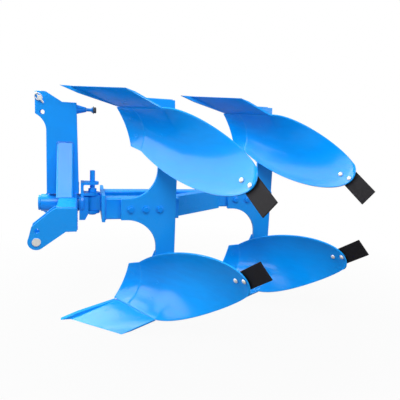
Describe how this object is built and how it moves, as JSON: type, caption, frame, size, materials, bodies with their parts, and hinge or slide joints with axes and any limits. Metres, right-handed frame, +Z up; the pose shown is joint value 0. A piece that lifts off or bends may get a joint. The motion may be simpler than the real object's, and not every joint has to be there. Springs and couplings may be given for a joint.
{
  "type": "reversible moldboard plough",
  "caption": "Mounted reversible plough: mast and hitch brackets carry a turnover frame with curved moldboards, shares and landsides mirrored above and below it.",
  "frame": {"origin": "on the floor under the middle of the plough's box", "axes": "+X rearward, against the travel; +Y to the right of travel; +Z up"},
  "size_m": [1.7596, 1.4148, 1.304],
  "materials": {
    "blue_paint": "gloss blue enamel",
    "zinc_steel": "zinc plated",
    "black_strip": "satin black"
  },
  "bodies": {
    "headstock": {"mast_left": "blue_paint", "mast_right": "blue_paint", "mast_webs": "blue_paint", "bearing_tube": "blue_paint", "cross_tube": "blue_paint", "brace_left": "blue_paint", "brace_right": "blue_paint", "bracket_left": "blue_paint", "bracket_right": "blue_paint", "lower_pin_left": "zinc_steel", "lower_pin_right": "zinc_steel", "top_link_pin": "zinc_steel", "cylinder_anchor": "blue_paint"},
    "turnover": {"turnover_shaft": "blue_paint", "swivel_head": "blue_paint", "pivot_pin": "blue_paint", "frame_flange": "blue_paint", "beam_near": "blue_paint", "beam_far": "blue_paint", "diagonal_beam": "blue_paint", "leg_front": "blue_paint", "leg_rear": "blue_paint", "moldboard_front_lower": "blue_paint", "moldboard_front_upper": "blue_paint", "share_front_lower": "blue_paint", "share_front_upper": "blue_paint", "shins_front": "blue_paint", "points_front": "blue_paint", "landsides_front": "blue_paint", "frogs_front": "blue_paint", "tail_strips_front": "black_strip", "stays_front": "blue_paint", "moldboard_rear_lower": "blue_paint", "moldboard_rear_upper": "blue_paint", "share_rear_lower": "blue_paint", "share_rear_upper": "blue_paint", "shins_rear": "blue_paint", "points_rear": "blue_paint", "landsides_rear": "blue_paint", "frogs_rear": "blue_paint", "tail_strips_rear": "black_strip", "stays_rear": "blue_paint"}
  },
  "joints": [
    {"name": "turnover", "type": "hinge", "parent": "headstock", "child": "turnover", "pos_m": [-0.7485, 0.24575, 0.652], "axis": [-1, 0, 0], "range_deg": [0, 180]}
  ]
}
